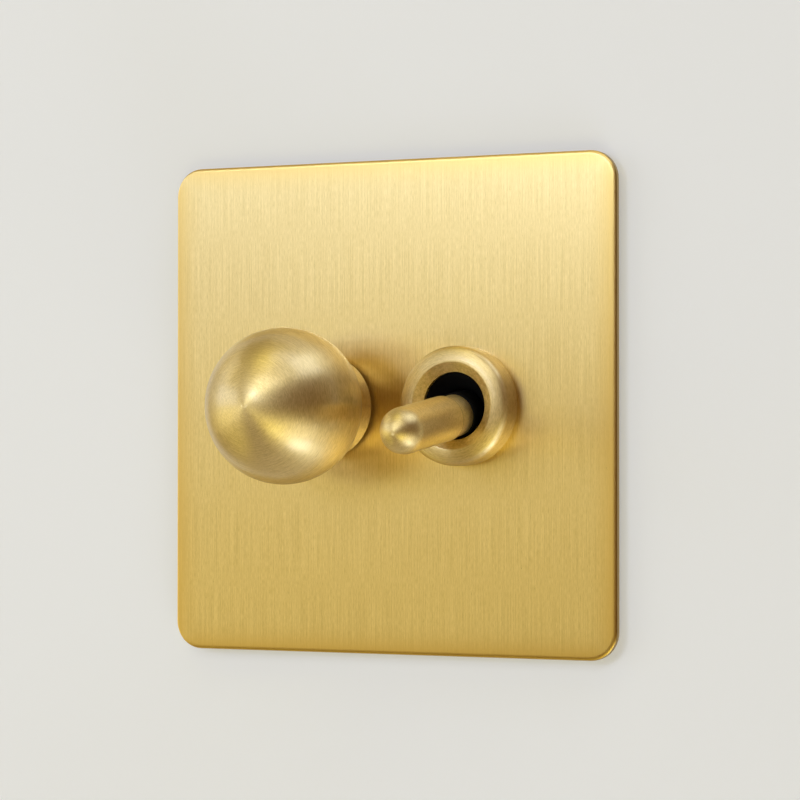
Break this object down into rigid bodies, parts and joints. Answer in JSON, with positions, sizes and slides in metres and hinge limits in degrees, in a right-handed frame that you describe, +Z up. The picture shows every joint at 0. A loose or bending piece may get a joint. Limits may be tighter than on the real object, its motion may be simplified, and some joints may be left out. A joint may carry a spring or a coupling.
{
  "type": "wall plate with a dimmer and a dolly switch",
  "caption": "Square brushed-brass wall plate with a ball-shaped push and turn dimmer knob and a round-nosed dolly switch that tilts in a rolled ring.",
  "frame": {"origin": "middle of the gasket's seat on the wall", "axes": "+X right and +Z up seen from the front, +Y into the wall, so that the front faces -Y"},
  "size_m": [0.088, 0.0682, 0.088],
  "materials": {
    "brushed_brass": "brushed satin",
    "plain_brass": "plain turned",
    "zinc_steel": "zinc plated",
    "cast_metal": "cast satin",
    "silver": "silver faced",
    "black_rubber": "matt",
    "black_plastic": "moulded satin",
    "white_plastic": "moulded satin",
    "red_film": "dipped gloss",
    "board": "laminate"
  },
  "bodies": {
    "plate": {"front_plate": "brushed_brass", "wall_gasket": "black_rubber", "mounting_plate": "zinc_steel", "toggle_bush": "plain_brass", "toggle_lock_nut": "plain_brass", "toggle_ring": "brushed_brass", "seal_boot": "black_rubber", "toggle_body": "black_plastic", "pivot_pin": "zinc_steel", "fixed_contacts": "silver", "common_terminal": "plain_brass", "switched_terminals": "plain_brass", "toggle_terminal_screws": "zinc_steel", "dimmer_bush": "cast_metal", "dimmer_lock_nut": "plain_brass", "dimmer_front_nut": "plain_brass", "pot_case": "zinc_steel", "track_wafer": "board", "push_switch": "white_plastic", "dimmer_housing": "black_plastic", "dimmer_rear_cover": "black_plastic", "circuit_board": "board", "choke": "black_plastic", "film_capacitor": "red_film", "triac": "black_plastic", "heat_sink": "cast_metal", "dimmer_terminals": "plain_brass", "dimmer_terminal_screws": "zinc_steel"},
    "dolly": {"dolly_lever": "brushed_brass", "dolly_sleeve": "brushed_brass", "lever_plunger": "plain_brass", "plunger_spring": "zinc_steel"},
    "rocker": {"rocker_arm": "plain_brass", "rocker_contacts": "silver"},
    "wiper": {"wiper_rotor": "white_plastic", "wiper_contact": "plain_brass"},
    "knob": {"dimmer_knob": "brushed_brass", "knob_grub_screw": "zinc_steel", "dimmer_spindle": "cast_metal", "spindle_clip": "zinc_steel"},
    "plunger": {"switch_plunger": "white_plastic"}
  },
  "joints": [
    {"name": "toggle_tilt", "type": "hinge", "parent": "plate", "child": "dolly", "pos_m": [0.0149, 0.0054, 0], "axis": [-1, 0, 0], "range_deg": [0, 16.2], "deforming": ["seal_boot"]},
    {"name": "rocker_tip", "type": "hinge", "parent": "plate", "child": "rocker", "pos_m": [0.0149, 0.0166, 0], "axis": [1, 0, 0], "range_deg": [0, 14]},
    {"name": "dimmer_turn", "type": "hinge", "parent": "plate", "child": "wiper", "pos_m": [-0.0117, 0, 0], "axis": [0, 1, 0], "range_deg": [-148, 148]},
    {"name": "dimmer_push", "type": "slide", "parent": "wiper", "child": "knob", "axis": [0, 1, 0], "range_m": [0, 0.0008], "stiffness_N_per_m": 3000, "springref_m": -0.0008},
    {"name": "switch_plunger_slide", "type": "slide", "parent": "plate", "child": "plunger", "axis": [0, 1, 0], "range_m": [0, 0.0008]}
  ],
  "couplings": [
    {"joint": "rocker_tip", "follows": "toggle_tilt", "ratio": 0.8641},
    {"joint": "switch_plunger_slide", "follows": "dimmer_push", "ratio": 1}
  ]
}
